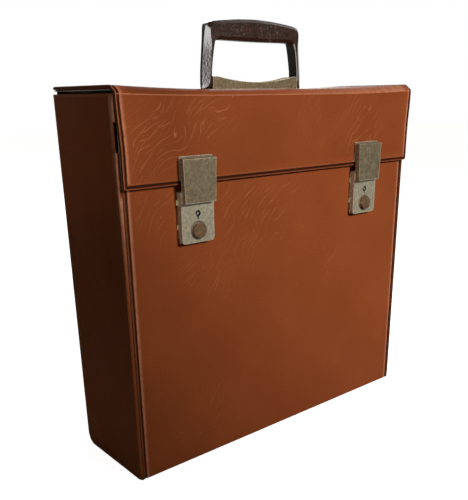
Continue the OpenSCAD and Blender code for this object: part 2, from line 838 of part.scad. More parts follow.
// Base plate on the flap, with two knuckles that hold the hasp's pin
module hasp_base() {
    low = flap_z + bead_w + groove_w;
    color(brass) difference() {
        union() {
            slab([-latch_w / 2, hasp_base_y, low], [latch_w / 2, flap_face_y, hasp_top + hasp_base_show]);
            for (m = [-1, 1]) translate([m * knuckle_x - knuckle_half, 0, 0]) {
                translate([0, hasp_pin_y, hasp_pin_z]) rotate([0, 90, 0])
                    cylinder(h = 2 * knuckle_half, r = knuckle_r, $fn = 48);
                slab([0, hasp_pin_y, hasp_pin_z - knuckle_r],
                     [2 * knuckle_half, hasp_base_y + joined, hasp_pin_z - knuckle_r + knuckle_web_t]);
            }
        }
        translate([-latch_w, hasp_pin_y, hasp_pin_z]) rotate([0, 90, 0])
            cylinder(h = 2 * latch_w, r = hasp_pin_r + pin_gap, $fn = 48);
        for (x = [-1, 1])
            bar_y(x * hasp_rivet_x, hasp_rivet_z, small_rivet_r + pin_gap,
                  hasp_base_y - 1, flap_face_y + 1);
    }
}

module hasp_pin() {
    half = latch_w / 2 - sheet_t / 2 - pin_gap;
    color("silver") translate([-half, hasp_pin_y, hasp_pin_z]) rotate([0, 90, 0])
        cylinder(h = 2 * half, r = hasp_pin_r, $fn = 48);
}

// Front view of the hasp, shrunk by inset: a little narrower at the bottom
module hasp_outline(inset) {
    top = latch_w / 2 - inset;
    low = top - hasp_taper / 2;
    polygon([[-low, hasp_z + inset], [low, hasp_z + inset],
             [top, hasp_top - inset], [-top, hasp_top - inset]]);
}

// Pressed cover of the hasp, its top corner rounded about the pin so that it swings
module hasp_cover() {
    color(brass) difference() {
        along_y(hasp_face_y, hasp_back_y) hasp_outline(0);
        along_y(hasp_face_y + sheet_t, hasp_back_y + 1) hasp_outline(sheet_t);
        along_x(-latch_w, latch_w) difference() {
            translate([hasp_pin_y, hasp_pin_z]) square(hasp_proud);
            translate([hasp_pin_y, hasp_pin_z]) circle(r = hasp_turn_r, $fn = 96);
        }
        along_x(-latch_w, latch_w) corner_cut([hasp_face_y, hasp_top], [1, -1], hasp_top_r);
        for (m = [-1, 1]) translate([m * knuckle_x, 0, 0])
            slab([-knuckle_half - knuckle_gap, hasp_pin_y - hasp_notch_in, hasp_pin_z + knuckle_r],
                 [knuckle_half + knuckle_gap, hasp_back_y + 1, hasp_top + 1]);
        translate([-latch_w / 2 + sheet_t / 2, hasp_pin_y, hasp_pin_z]) rotate([0, 90, 0])
            cylinder(h = latch_w - sheet_t, r = hasp_pin_r + pin_gap, $fn = 48);
    }
}

// Hooked lug welded inside the hasp: its flange, its tongue and the hook at its tip
module hasp_lug() {
    in_y = hasp_face_y + sheet_t;
    color("silver") along_x(-lug_half, lug_half) polygon([
        [in_y, lug_z + lug_flange_h], [in_y, lug_z], [hook_y, lug_z], [hook_y, lug_z - hook_drop],
        [hook_y + hook_t, lug_z - hook_drop], [hook_y + hook_t, lug_z + lug_t],
        [in_y + lug_t, lug_z + lug_t], [in_y + lug_t, lug_z + lug_flange_h]]);
}

module hasp_rivets() {
    color("silver") for (s = [-1, 1], x = [-1, 1]) at_latch(s) {
        bar_y(x * hasp_rivet_x, hasp_rivet_z, small_rivet_r,
              hasp_base_y - small_head_t, flap_in_y + hasp_washer_t);
        bar_y(x * hasp_rivet_x, hasp_rivet_z, small_head_r, hasp_base_y - small_head_t, hasp_base_y);
    }
}

module hasp_washers() {
    color("silver") for (s = [-1, 1], x = [-1, 1]) at_latch(s) difference() {
        bar_y(x * hasp_rivet_x, hasp_rivet_z, washer_r, flap_in_y, flap_in_y + hasp_washer_t);
        bar_y(x * hasp_rivet_x, hasp_rivet_z, small_rivet_r + pin_gap, flap_board_y, flap_in_y + flap_t);
    }
}

front_board();
back_board();
side_board(-1);  // left_side_board
side_board(1);  // right_side_board
bottom_board();
front_cover();
back_cover();
side_cover(-1);  // left_side_cover
side_cover(1);  // right_side_cover
bottom_cover();
front_lining();
back_lining();
side_lining(-1);  // left_side_lining
side_lining(1);  // right_side_lining
bottom_lining();
at_latch(-1) lock_base();  // lock_base_left
at_latch(1) lock_base();  // lock_base_right
at_latch(-1) lock_face();  // lock_face_left
at_latch(1) lock_face();  // lock_face_right
at_latch(-1) lock_button();  // lock_button_left
at_latch(1) lock_button();  // lock_button_right
at_latch(-1) lock_catch();  // lock_catch_left
at_latch(1) lock_catch();  // lock_catch_right
at_latch(-1) lock_bolt();  // lock_bolt_left
at_latch(1) lock_bolt();  // lock_bolt_right
at_latch(-1) catch_spring();  // catch_spring_left
at_latch(1) catch_spring();  // catch_spring_right
lock_rivets();
lock_washers();
rear_hinge_strip();
lid_board();
lid_cover();
lid_lining();
at_handle() handle_base();
at_handle() handle_backing_plate();
at_handle() handle_rivets();
at_handle() handle_grip();
at_handle() handle_pins();
front_hinge_strip();
flap_board();
flap_cover();
flap_lining();
at_latch(-1) hasp_base();  // hasp_base_left
at_latch(1) hasp_base();  // hasp_base_right
hasp_rivets();
hasp_washers();
at_latch(-1) hasp_pin();  // hasp_pin_left
at_latch(1) hasp_pin();  // hasp_pin_right
at_latch(-1) hasp_cover();  // hasp_cover_left
at_latch(1) hasp_cover();  // hasp_cover_right
at_latch(-1) hasp_lug();  // hasp_lug_left
at_latch(1) hasp_lug();  // hasp_lug_right
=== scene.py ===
import math
import bmesh
import bpy
from mathutils import Matrix, Vector, noise


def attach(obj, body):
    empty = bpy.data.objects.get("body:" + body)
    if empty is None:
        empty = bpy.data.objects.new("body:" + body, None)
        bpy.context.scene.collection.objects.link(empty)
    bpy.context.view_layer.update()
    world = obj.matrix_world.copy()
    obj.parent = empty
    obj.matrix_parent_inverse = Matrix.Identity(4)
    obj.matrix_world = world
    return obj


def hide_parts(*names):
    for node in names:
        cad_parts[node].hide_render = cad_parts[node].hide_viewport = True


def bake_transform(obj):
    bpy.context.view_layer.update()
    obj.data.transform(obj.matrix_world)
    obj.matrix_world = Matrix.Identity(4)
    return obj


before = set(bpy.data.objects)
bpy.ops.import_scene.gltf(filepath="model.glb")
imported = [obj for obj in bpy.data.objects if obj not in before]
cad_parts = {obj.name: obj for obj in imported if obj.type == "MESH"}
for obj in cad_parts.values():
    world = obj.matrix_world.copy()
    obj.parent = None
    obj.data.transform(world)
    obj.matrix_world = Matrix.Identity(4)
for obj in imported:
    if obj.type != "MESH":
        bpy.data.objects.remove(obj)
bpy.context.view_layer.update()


# Leathercloth: tan embossed vinyl on cotton, glued to every board. The emboss is a hide
# pattern: soft pebbles all over, with clusters of long fine creases that catch the light.
# Each piece of cloth carries two values: where it lies, and how pale or dark it is painted
# there, which is partly wear and soil and partly painted light and painted shade.
TAN = (0.235, 0.0572, 0.0168)
TAN_DARK = (0.150, 0.0335, 0.0098)
CREASE_TAN = (0.42, 0.155, 0.062)
# Pale for wear, and also for painted light and painted sheen; dark for soil, and also for painted
# shade.
WORN_AND_LIT_TAN = (0.50, 0.215, 0.128)
SOILED_AND_SHADED_TAN = (0.008, 0.003, 0.0025)
MM = 0.001


def node(tree, kind, inputs=None, **settings):
    made = tree.nodes.new(kind)
    for name, value in settings.items():
        setattr(made, name, value)
    for name, value in (inputs or {}).items():
        if isinstance(value, bpy.types.NodeSocket):
            tree.links.new(value, made.inputs[name])
        else:
            made.inputs[name].default_value = value
    return made


def math_node(tree, operation, a, b=0.0):
    return node(tree, "ShaderNodeMath", {0: a, 1: b}, operation=operation).outputs[0]


def span(tree, value, low, high, start=0.0, end=1.0):
    made = node(tree, "ShaderNodeMapRange", {0: value, 1: low, 2: high, 3: start, 4: end})
    return made.outputs[0]


def noise_node(tree, place, scale, detail, output="Fac"):
    made = node(tree, "ShaderNodeTexNoise", {"Vector": place, "Scale": scale, "Detail": detail})
    return made.outputs[output]


def vector_node(tree, operation, a, b):
    return node(tree, "ShaderNodeVectorMath", {0: a, 1: b}, operation=operation).outputs[0]


def distance_node(tree, a, b):
    return node(tree, "ShaderNodeVectorMath", {0: a, 1: b}, operation="DISTANCE").outputs["Value"]


def mix(tree, factor, a, b):
    made = tree.nodes.new("ShaderNodeMix")
    made.data_type = "RGBA"
    for socket, value in ((0, factor), (6, a), (7, b)):
        if isinstance(value, bpy.types.NodeSocket):
            tree.links.new(value, made.inputs[socket])
        elif isinstance(value, tuple):
            made.inputs[socket].default_value = (*value, 1.0)
        else:
            made.inputs[socket].default_value = value
    return made.outputs[2]


def mix_value(tree, factor, a, b):
    made = node(tree, "ShaderNodeMix", {0: factor, 2: a, 3: b})
    return made.outputs[0]


def new_material(name):
    material = bpy.data.materials.new(name)
    material.use_nodes = True
    tree = material.node_tree
    shader = tree.nodes["Principled BSDF"]
    return material, tree, shader


# Two sets of creases run over the cloth: each has its turn in radians, the spacing of its
# creases in metres, and an offset that keeps it from lying on the other one.
CREASE_SETS = ((-0.60, 0.0046, 0.0), (-0.86, 0.0062, 0.31))
# Where the hide pattern is creased most, in millimetres on the cloth, with reach and strength.
# Places on the flap and lid count on from 1000.
CREASED = ((-152, 1284, 40, 1.0), (-130, 1304, 34, 1.0), (-92, 1304, 26, 0.9), (96, 1296, 34, 0.5),
           (-40, 213, 46, 0.6), (-141, 238, 34, 0.6), (-58, 248, 34, 0.5), (6, 237, 30, 0.45),
           (-96, 180, 38, 0.45), (60, 170, 30, 0.3), (20, 1312, 30, 0.35))


def leathercloth():
    material, tree, shader = new_material("tan_leathercloth")
    place = node(tree, "ShaderNodeAttribute", attribute_name="cloth_place").outputs["Vector"]
    wear_and_painted_light = node(tree, "ShaderNodeAttribute", attribute_name="wear_and_painted_light").outputs["Fac"]
    broad = noise_node(tree, place, 14.0, 3.0)
    pebble = node(tree, "ShaderNodeTexVoronoi", {"Vector": place, "Scale": 620.0},
                  feature="SMOOTH_F1").outputs["Distance"]
    fine = noise_node(tree, place, 900.0, 4.0)
    pull = noise_node(tree, place, 11.0, 2.5, output="Color")
    pull = vector_node(tree, "SUBTRACT", pull, (0.5, 0.5, 0.5))
    pull = node(tree, "ShaderNodeVectorMath", {0: pull, "Scale": 0.075},
                operation="SCALE").outputs[0]
    pulled = vector_node(tree, "ADD", place, pull)
    line = 0.0
    for turn, spacing, offset in CREASE_SETS:
        laid = node(tree, "ShaderNodeMapping",
                    {"Vector": pulled, "Location": (offset, offset, 0.0),
                     "Rotation": (0.0, 0.0, turn), "Scale": (1.0, 6.0, 1.0)},
                    vector_type="TEXTURE").outputs[0]
        across = node(tree, "ShaderNodeSeparateXYZ", {0: laid}).outputs["X"]
        flow = noise_node(tree, laid, 60.0, 2.0)
        phase = math_node(tree, "ADD", math_node(tree, "DIVIDE", across, spacing),
                          math_node(tree, "MULTIPLY", flow, 3.6))
        level = math_node(tree, "SUBTRACT", math_node(tree, "FRACT", phase), 0.5)
        level = math_node(tree, "ABSOLUTE", level)
        torn = noise_node(tree, laid, 210.0, 2.0)
        wrinkle = math_node(tree, "MULTIPLY", span(tree, level, 0.08, 0.0),
                            span(tree, torn, 0.47, 0.60))
        line = math_node(tree, "MAXIMUM", wrinkle, line)
    stray = noise_node(tree, place, 10.0, 3.0)
    where = math_node(tree, "MULTIPLY", span(tree, stray, 0.55, 0.75), 0.5)
    for x, z, reach, strength in CREASED:
        away = distance_node(tree, pulled, (x * MM, z * MM, 0.0))
        patch = span(tree, away, reach * MM, reach * 0.4 * MM, 0.0, strength)
        where = math_node(tree, "MAXIMUM", where, patch)
    creases = math_node(tree, "MULTIPLY", line, where)
    colour = mix(tree, span(tree, broad, 0.3, 0.7, 0.4, 0.9), TAN_DARK, TAN)
    colour = mix(tree, span(tree, fine, 0.35, 0.65, 0.0, 0.6), colour, TAN_DARK)
    colour = mix(tree, math_node(tree, "MULTIPLY", creases, 0.75), colour, CREASE_TAN)
    speck = node(tree, "ShaderNodeTexVoronoi", {"Vector": place, "Scale": 70.0}).outputs["Distance"]
    speck = math_node(tree, "MULTIPLY", span(tree, speck, 0.05, 0.03),
                      span(tree, broad, 0.56, 0.62))
    colour = mix(tree, math_node(tree, "MULTIPLY", speck, 0.8), colour, WORN_AND_LIT_TAN)
    # The cloth turns pale in patches where it is worn and where light is painted on, and dark where
    # it is soiled and where shade is painted.
    patch_noise = noise_node(tree, place, 160.0, 2.0)
    patchy = math_node(tree, "MULTIPLY", span(tree, wear_and_painted_light, 0.0, 1.0),
                       span(tree, patch_noise, 0.3, 0.55, 0.6, 1.0))
    colour = mix(tree, patchy, colour, WORN_AND_LIT_TAN)
    soil_and_shade = span(tree, wear_and_painted_light, 0.0, -1.0)
    colour = mix(tree, soil_and_shade, colour, SOILED_AND_SHADED_TAN)
    tree.links.new(colour, shader.inputs["Base Color"])
    tree.links.new(span(tree, broad, 0.3, 0.7, 0.50, 0.40), shader.inputs["Roughness"])
    shader.inputs["Specular IOR Level"].default_value = 0.012
    height = math_node(tree, "ADD", math_node(tree, "MULTIPLY", pebble, 0.5),
                       math_node(tree, "MULTIPLY", creases, 1.0))
    bump = node(tree, "ShaderNodeBump", {"Height": height, "Strength": 0.6, "Distance": 0.0004})
    tree.links.new(bump.outputs[0], shader.inputs["Normal"])
    return material


LEATHERCLOTH = leathercloth()


# The wrapped covering of the case: one piece of leathercloth glued down the front, round
# under the bottom and up the back. A bead is welded along both its edges, with a pressed
# groove inside it, and its top edge is turned over the front board.
HALF_D = 49.0
SEAM_X = 171.4
FRONT_TOP = 323.0
FRONT_FOLD_R = 2.0
BACK_FOLD_R = 10.0
STRIP_Z = 313.0
CLOTH_T = 0.8
FRONT_PLACE = 327.8
BACK_PLACE = 1442.6
FACE_COLUMNS = 48
EDGE_STEPS = (0.6, 1.0, 1.3, 1.6, 2.0, 2.5, 2.9, 3.3, 3.9, 5.0, 6.5)
EDGE_DEPTHS = (0.05, 0.0, 0.08, 0.36, 0.54, 0.56, 0.46, 0.16, 0.03, 0.0, 0.0)
# Painted shade on the sides and undersides of turned edges.
UNDER_SHADE = -0.55


def edge_depth(d):
    """How deep the pressed line lies at this distance in from a welded edge."""
    if d >= EDGE_STEPS[-1]:
        return 0.0
    for i in range(1, len(EDGE_STEPS)):
        if d <= EDGE_STEPS[i]:
            t = (d - EDGE_STEPS[i - 1]) / (EDGE_STEPS[i] - EDGE_STEPS[i - 1])
            return EDGE_DEPTHS[i - 1] + max(t, 0.0) * (EDGE_DEPTHS[i] - EDGE_DEPTHS[i - 1])


def edge_wear_and_light(d, pale=0.6):
    """Soiled on the bead, painted shade in the groove, and pale on the shoulder inside it, partly
    wear and partly a painted highlight.
    """
    if d < 1.2:
        return -0.25
    if d < 3.1:
        return -0.9
    return max(0.0, pale - 0.3 * abs(d - 3.9)) if d < 6.4 else 0.0


def ripple(u, v):
    """The slight unevenness of cloth glued by hand, never above its face."""
    return 0.09 * (noise.noise(Vector((u * 0.021, v * 0.021, 3.7))) - 1.0) \
        + 0.03 * (noise.noise(Vector((u * 0.09, v * 0.09, 8.1))) - 1.0)


def arc(cy, cz, ry, rz, start, end, count):
    turn = [math.radians(start + (end - start) * i / count) for i in range(count + 1)]
    return [(cy + ry * math.cos(a), cz + rz * math.sin(a)) for a in turn]


def line(y0, z0, y1, z1, count):
    return [(y0 + (y1 - y0) * i / count, z0 + (z1 - z0) * i / count) for i in range(count + 1)]


def route(*parts):
    """Joins stretches of a side view into rows of place, outward direction and length."""
    points = []
    for part in parts:
        for p in part:
            if not points or math.dist(p, points[-1]) > 0.01:
                points.append(p)
    rows = []
    length = 0.0
    for i, p in enumerate(points):
        a = points[max(i - 1, 0)]
        b = points[min(i + 1, len(points) - 1)]
        run = math.dist(a, b)
        length += math.dist(a, p)
        rows.append((p[0], p[1], (b[1] - a[1]) / run, (a[0] - b[0]) / run, length))
    return rows


def columns(inner_count):
    """Places across a covering: from the left edge, over the face, to the right edge."""
    last = EDGE_STEPS[-1]
    left = [(-1, d) for d in EDGE_STEPS]
    face = [(0, -1 + 2 * i / inner_count) for i in range(1, inner_count)]
    return left + face + [(1, d) for d in reversed(EDGE_STEPS)], last


def column_x(column, half, last):
    side, value = column
    return side * (half - value) if side else value * (half - last)


class Cloth:
    """A mesh of leathercloth as it is built, with where it lies and how pale or dark it is painted.
    """

    def __init__(self):
        self.bm = bmesh.new()
        self.place = self.bm.verts.layers.float_vector.new("cloth_place")
        self.wear_and_light = self.bm.verts.layers.float.new("wear_and_painted_light")

    def vert(self, at, u, v, wear_and_light):
        made = self.bm.verts.new(Vector(at) * MM)
        made[self.place] = Vector((u, v, 0.0)) * MM
        made[self.wear_and_light] = wear_and_light
        return made

    def grid(self, rows):
        for a, b in zip(rows, rows[1:]):
            for i in range(len(a) - 1):
                self.bm.faces.new((a[i], a[i + 1], b[i + 1], b[i]))

    def turn_over(self, loop):
        """Turns an edge over. Each entry of the loop has a vertex, the way out, the face's normal,
        the rim's depth, its rounding, how far it goes back in, and how pale its outside is painted.
        Past its outer rounding the turned edge is painted dark, as painted shade."""
        rings = [[step[0] for step in loop]]
        for k in range(9):
            ring = []
            for vert, out, normal, depth, radius, back, wear_and_light in loop:
                if k < 3:
                    a = math.radians(30 * (k + 1))
                    go, sink = radius * math.sin(a), radius * (1 - math.cos(a))
                elif k < 7:
                    a = math.radians(90 + 30 * (k - 3))
                    go, sink = radius * math.sin(a), depth - radius - radius * math.cos(a)
                else:
                    go, sink = -back * (k - 6) / 2, depth
                at = Vector(vert.co) / MM + Vector(out) * go - Vector(normal) * sink
                where = vert[self.place] / MM
                ring.append(self.vert(at, where.x + go + sink * 0.7, where.y,
                                      wear_and_light if k < 2 else UNDER_SHADE))
            rings.append(ring)
        self.grid(rings)

    def finish(self, name):
        bmesh.ops.remove_doubles(self.bm, verts=self.bm.verts, dist=2e-6)
        bmesh.ops.recalc_face_normals(self.bm, faces=self.bm.faces)
        mesh = bpy.data.meshes.new(name)
        self.bm.to_mesh(mesh)
        self.bm.free()
        made = bpy.data.objects.new(name, mesh)
        bpy.context.scene.collection.objects.link(made)
        made.data.materials.append(LEATHERCLOTH)
        for face in mesh.polygons:
            face.use_smooth = True
        return made


case_cloth = Cloth()
case_columns, case_last = columns(FACE_COLUMNS)
case_rows = route(
    [(-45.3, FRONT_TOP - 1.4), (-45.3, FRONT_TOP - 0.4), (-45.6, FRONT_TOP), (-47.8, FRONT_TOP),
     (-48.5, FRONT_TOP - 0.2), (-48.85, FRONT_TOP - 0.6)],
    line(-HALF_D, FRONT_TOP - 1.2, -HALF_D, FRONT_FOLD_R, 44),
    arc(-HALF_D + FRONT_FOLD_R, FRONT_FOLD_R, FRONT_FOLD_R, FRONT_FOLD_R, 180, 270, 6),
    line(-HALF_D + FRONT_FOLD_R, 0, 0, 0, 6),
    line(0.4, 0, HALF_D - BACK_FOLD_R, 0, 6),
    arc(HALF_D - BACK_FOLD_R, BACK_FOLD_R, BACK_FOLD_R, BACK_FOLD_R, 270, 360, 12),
    line(HALF_D, BACK_FOLD_R, HALF_D, STRIP_Z, 40))
CASE_LENGTH = case_rows[-1][4]
laid = []
for y, z, ny, nz, v in case_rows:
    row = []
    on_cloth = FRONT_PLACE - v if y < 0.01 else BACK_PLACE + CASE_LENGTH - v
    for column in case_columns:
        x = column_x(column, SEAM_X, case_last)
        d = SEAM_X - abs(x)
        level = 1.0 if 5 < z < STRIP_Z - 6 and abs(y) > HALF_D - 0.1 else 0.0
        sink = edge_depth(d) - level * ripple(x, v) * min(d / 8, 1.0)
        row.append(case_cloth.vert((x, y - ny * sink, z - nz * sink), x, on_cloth, edge_wear_and_light(d)))
    laid.append(row)
case_cloth.grid(laid)
for side, index in ((-1, 0), (1, -1)):
    case_cloth.turn_over([(row[index], (side, 0, 0), (0, r[2], r[3]), CLOTH_T, 0.35, 1.0, 0.4)
                          for row, r in zip(laid, case_rows)])
case_covering = case_cloth.finish("case_covering")
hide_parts("front_cover", "bottom_cover", "back_cover")
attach(case_covering, "case")


# The side coverings: a piece of leathercloth glued over each side board, turned round its
# edges on to the front, back, bottom and top. A slot is left in the front edge, by the flap.
HALF_W = 175.0
SIDE_TOP = 326.0
SIDE_EDGE_R = 2.8
BACK_EDGE_R = 1.4
SIDE_RETURN = 3.2
SIDE_TOP_RETURN = 3.9
SLOT_LOW = 284.0
SLOT_HIGH = 306.0
SLOT_DEEP = 2.4

# How far in from the rounded front edge, and how pale the side's face is painted there, partly wear
# and partly painted light.
PALE_EDGE = ((0.0, 0.9), (1.4, 0.9), (2.8, 0.6), (4.4, 0.0))
# The front edges are painted pale from this height up, partly wear and partly painted light, and
# pale up to this turn of their rounding, a smaller turn beside the flap; past it they are painted
# dark as shade, by the flap and the joint with the front.
PALE_FROM = 120.0
PALE_RUN = 135.0
SIDE_PALE_DROP = 60.0
BESIDE_FLAP = 252.0
PALE_TURN = 80
PALE_TURN_BESIDE_FLAP = 50


def edge_paleness(z):
    """How pale the front edges are painted at this height: partly wear, and partly painted light
    that fades towards the bottom.
    """
    return 0.04 + 0.96 * min(max((z - PALE_FROM) / PALE_RUN, 0.0), 1.0) ** 3


side_y = [-HALF_D + SIDE_EDGE_R + d for d, wear_and_light in PALE_EDGE]
side_y += [-HALF_D + 14 + (2 * HALF_D - 14 - SIDE_EDGE_R) * i / 13 for i in range(14)]
side_z = [SIDE_EDGE_R + (SLOT_LOW - 0.4 - SIDE_EDGE_R) * i / 40 for i in range(41)]
side_z += [SLOT_LOW, 288.0, 292.0, 296.0, 300.0, 303.0, SLOT_HIGH]
side_z += [SLOT_HIGH + 0.4, 310.0, 316.0, 320.0, SIDE_TOP - SIDE_EDGE_R]
side_names = {-1: "left", 1: "right"}
for s in (-1, 1):
    cloth = Cloth()
    rows = []
    for z in side_z:
        row = []
        for j, y in enumerate(side_y):
            a, b = y - (HALF_D - BACK_FOLD_R), BACK_FOLD_R - z
            py, pz = y, z
            if a > 0 and b > 0:
                k = max(a, b) / math.hypot(a, b)
                py, pz = HALF_D - BACK_FOLD_R + a * k, BACK_FOLD_R - b * k
            edge = min(HALF_D - abs(py), pz, SIDE_TOP - pz) - SIDE_EDGE_R
            sink = -ripple(py + 400 * s, pz) * min(edge / 8, 1.0)
            # Near the front edge the side's face is painted pale, partly wear and partly painted
            # light.
            wear_and_light = PALE_EDGE[j][1] * edge_paleness(pz - SIDE_PALE_DROP) if j < len(PALE_EDGE) else 0.0
            row.append(cloth.vert((s * (HALF_W - sink), py, pz), py + 500 * s, pz, wear_and_light))
        rows.append(row)
    cloth.grid(rows)
    last_y, last_z = len(side_y) - 1, len(side_z) - 1
    around = [(i, 0) for i in range(last_z)] + [(last_z, j) for j in range(last_y)]
    around += [(i, last_y) for i in range(last_z, 0, -1)] + [(0, j) for j in range(last_y, 0, -1)]
    rings = [[rows[i][j] for i, j in around]]
    steps = [(15 * k, 0.0) for k in range(1, 7)] + [(90, 0.4), (90, 0.9), (90, 1.0), (90, 1.1)]
    for index, (angle, along) in enumerate(steps):
        ring = []
        turn = math.radians(angle)
        for i, j in around:
            vert = rows[i][j]
            y, z = vert.co.y / MM, vert.co.z / MM
            gy = -1.0 if j == 0 else 1.0 if j == last_y else 0.0
            gz = -1.0 if i == 0 else 1.0 if i == last_z else 0.0
            a, b = y - (HALF_D - BACK_FOLD_R), BACK_FOLD_R - z
            if a > 0.1 and b > 0.1:
                gy, gz = a / math.hypot(a, b), -b / math.hypot(a, b)
            top = gz > 0.5
            radius = 1.2 if top else SIDE_EDGE_R if j == 0 else BACK_EDGE_R
            if gy and gz and abs(gy) == 1.0 and not top:
                gy, gz = gy * 0.85, gz * 0.85
            go = SIDE_EDGE_R - radius + radius * math.sin(turn)
            depth = radius * (1 - math.cos(turn))
            back = SIDE_TOP_RETURN if top else SIDE_RETURN
            if along:
                depth = radius + (back - radius) * min(along / 0.9, 1.0)
                go = SIDE_EDGE_R - (0.0 if along < 0.95 else 0.8 if along < 1.05 else 2.2)
            py, pz = y + gy * go, z + gz * go
            in_slot = j == 0 and SLOT_LOW - 0.1 < z < SLOT_HIGH + 0.1
            if in_slot and depth > 0.75:
                py = -HALF_D + SLOT_DEEP
            wear_and_light = 0.0
            # The rounded front edge is painted pale up to its pale turn, partly wear and partly
            # painted light; past it, it is painted dark as shade.
            if along < 0.95 and not top and not in_slot:
                pale_turn = PALE_TURN if z < BESIDE_FLAP else PALE_TURN_BESIDE_FLAP
                wear_and_light = 0.9 * edge_paleness(z) if angle < pale_turn else -0.8
            # Inside the slot the cloth is painted near black, as painted shade.
            if in_slot and depth > 0.75:
                wear_and_light = -1.0
            # The top edge is painted pale along its turn.
            if top:
                wear_and_light = 0.35
            ring.append(cloth.vert((s * (HALF_W - depth), py, pz), y + 500 * s + gy * (go + depth),
                                   z + gz * (go + depth), wear_and_light * (0.6 if gz else 1.0)))
        rings.append(ring)
    for a, b in zip(rings, rings[1:]):
        for quad in list(zip(a, a[1:], b[1:], b)) + [(a[-1], a[0], b[0], b[-1])]:
            cloth.bm.faces.new(quad)
    covering = cloth.finish(side_names[s] + "_side_covering")
    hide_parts(side_names[s] + "_side_cover")
    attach(covering, "case")


# The rear half of the lid's covering: the same leathercloth goes on up from the back, round
# the soft fold that is the lid's hinge, and forwards over the lid board to its middle. The
# lid board lies level under the handle and curls up towards its ends.
LID_TOP = 328.5
LID_EDGE_Y = 45.0
LID_FLAT = 61.7
LID_CURL = 3.5
REAR_R = 4.0
CURL_RUN = HALF_W - LID_FLAT
CURL_R = (CURL_RUN ** 2 + LID_CURL ** 2) / (2 * LID_CURL)
LID_RIM = 3.3


def curl(x):
    run = max(abs(x) - LID_FLAT, 0.0)
    return CURL_R - math.sqrt(CURL_R ** 2 - run ** 2)


def ease(t):
    t = min(max(t, 0.0), 1.0)
    return t * t * (3 - 2 * t)


lid_columns, lid_last = columns(FACE_COLUMNS)
rear_cloth = Cloth()
rear_rows = route(
    line(HALF_D, STRIP_Z, HALF_D, LID_TOP - REAR_R, 4),
    arc(LID_EDGE_Y, LID_TOP - REAR_R, REAR_R, REAR_R, 0, 90, 10),
    line(LID_EDGE_Y, LID_TOP, 0, LID_TOP, 8))
laid = []
edges = []
for y, z, ny, nz, v in rear_rows:
    raised = min(max((z - STRIP_Z) / (LID_TOP - REAR_R - STRIP_Z), 0.0), 1.0)
    half = SEAM_X + (HALF_W - SEAM_X) * ease((z - 325.7) / 1.0)
    rim = CLOTH_T + (LID_RIM - CLOTH_T) * ease((LID_EDGE_Y + 1 - y) / 3)
    row = []
    for column in lid_columns:
        x = column_x(column, half, lid_last)
        d = half - abs(x)
        level = ease((LID_EDGE_Y - y) / 8) * ease(y / 10)
        sink = edge_depth(d) - level * ripple(x, BACK_PLACE - v) * min(d / 8, 1.0)
        row.append(rear_cloth.vert((x, y - ny * sink, z - nz * sink + raised * curl(x)),
                                   x, BACK_PLACE - v, edge_wear_and_light(d)))
    laid.append(row)
    edges.append((rim, min(0.6, rim / 2.2), (0, ny, nz)))
rear_cloth.grid(laid)
for side, index in ((-1, 0), (1, -1)):
    rear_cloth.turn_over([(row[index], (side, 0, 0), e[2], e[0], e[1], 2.0, 0.35)
                          for row, e in zip(laid, edges)])
rear_fold = rear_cloth.finish("lid_rear_covering")
LID_PLACE = BACK_PLACE - rear_rows[-1][4]
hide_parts("rear_hinge_strip")
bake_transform(rear_fold)


# The front half of the lid's covering and the flap's face: the cloth goes on over the lid
# board, loosely round the front fold, and down over the flap board, with the bead and groove
# welded all round. The flap widens towards the fold, which pinches its rim in a little.
FLAP_HALF = 173.0
FLAP_FACE_Y = -53.6
FLAP_TOP = 323.8
FLAP_LOW = 256.5
FLAP_CORNER_R = 2.5
WIDENING_FROM = 284.0
WIDENING_RUN = 40.0
FOLD_SAG = 0.45
FOLD_SWELL = 0.14
# The lid's top in front is painted with a sheen that grows towards its right end, and with painted
# shade towards its left end.
TOP_SHEEN = 0.07
TOP_SHEEN_RISE = 0.42
# Along the front fold the cloth is painted pale, a thin pale line.
FOLD_PALE = 0.42
# The flap's face is painted a little darker, more so towards its right.
FLAP_DARKENING = 0.05

